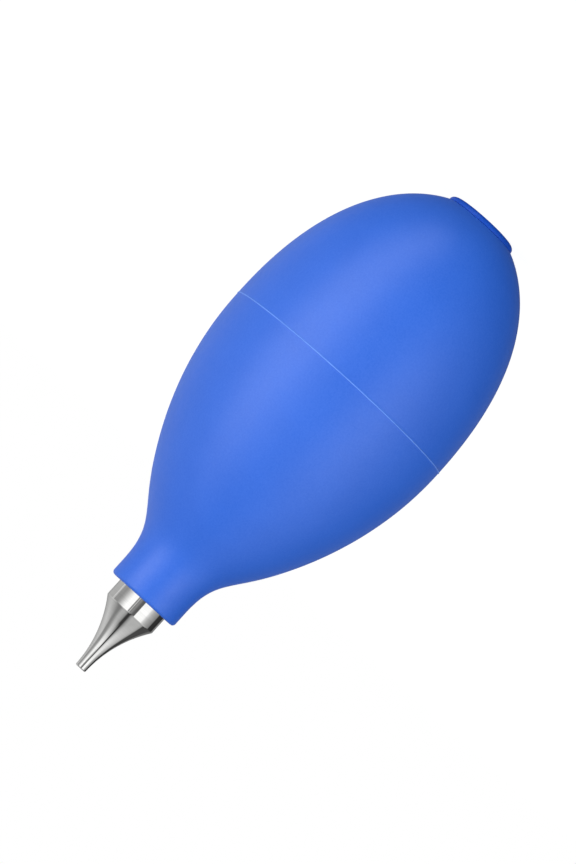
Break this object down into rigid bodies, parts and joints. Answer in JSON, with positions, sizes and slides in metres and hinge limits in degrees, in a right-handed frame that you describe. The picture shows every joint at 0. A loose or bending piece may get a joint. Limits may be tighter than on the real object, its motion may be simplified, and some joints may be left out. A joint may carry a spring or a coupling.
{
  "type": "air blower bulb",
  "caption": "Egg-shaped hollow rubber bulb with a flat-backed inlet valve and a turned metal nozzle, squeezed by hand to blow a fine jet of air.",
  "frame": {"origin": "centre of the flat face of the inlet plug, which the blower stands on", "axes": "+Z along the bulb's axis, from the inlet plug to the nozzle's tip"},
  "size_m": [0.0562, 0.0562, 0.1248],
  "materials": {
    "bulb_silicone": "satin, very fine moulded grain",
    "plug_silicone": "satin, slightly deeper blue",
    "polished_steel": "turned and mirror polished",
    "satin_steel": "satin stainless sheet",
    "spring_wire": "drawn stainless wire",
    "plated_brass": "turned, thin nickel plate",
    "natural_nylon": "moulded, satin",
    "filter_foam": "open-cell foam",
    "black_rubber": "matte"
  },
  "bodies": {
    "bulb": {"bulb_body": "bulb_silicone", "inlet_plug": "plug_silicone", "inlet_housing": "plated_brass", "intake_grille": "satin_steel", "dust_filter": "filter_foam", "inlet_seat_washer": "black_rubber", "inlet_spring": "spring_wire", "inlet_cage": "natural_nylon"},
    "inlet_valve": {"inlet_valve_disc": "natural_nylon"},
    "neck": {"bulb_neck": "bulb_silicone", "outlet_valve_body": "plated_brass", "outlet_spring": "spring_wire", "outlet_spring_retainer": "satin_steel"},
    "outlet_valve": {"outlet_ball": "polished_steel"},
    "nozzle": {"nozzle": "polished_steel", "nozzle_o_ring": "black_rubber"}
  },
  "joints": [
    {"name": "bulb_squeeze", "type": "slide", "parent": "bulb", "child": "neck", "axis": [0, 0, -1], "range_m": [0, 0.022], "stiffness_N_per_m": 1200, "deforming": ["bulb_body"]},
    {"name": "inlet_lift", "type": "slide", "parent": "bulb", "child": "inlet_valve", "axis": [0, 0, 1], "range_m": [0, 0.0015], "stiffness_N_per_m": 20, "springref_m": -0.0005, "deforming": ["inlet_spring"]},
    {"name": "outlet_lift", "type": "slide", "parent": "neck", "child": "outlet_valve", "axis": [0, 0, 1], "range_m": [0, 0.0012], "stiffness_N_per_m": 25, "springref_m": -0.0005, "deforming": ["outlet_spring"]},
    {"name": "nozzle_pull", "type": "slide", "parent": "neck", "child": "nozzle", "axis": [0, 0, 1], "range_m": [0, 0.012]}
  ]
}
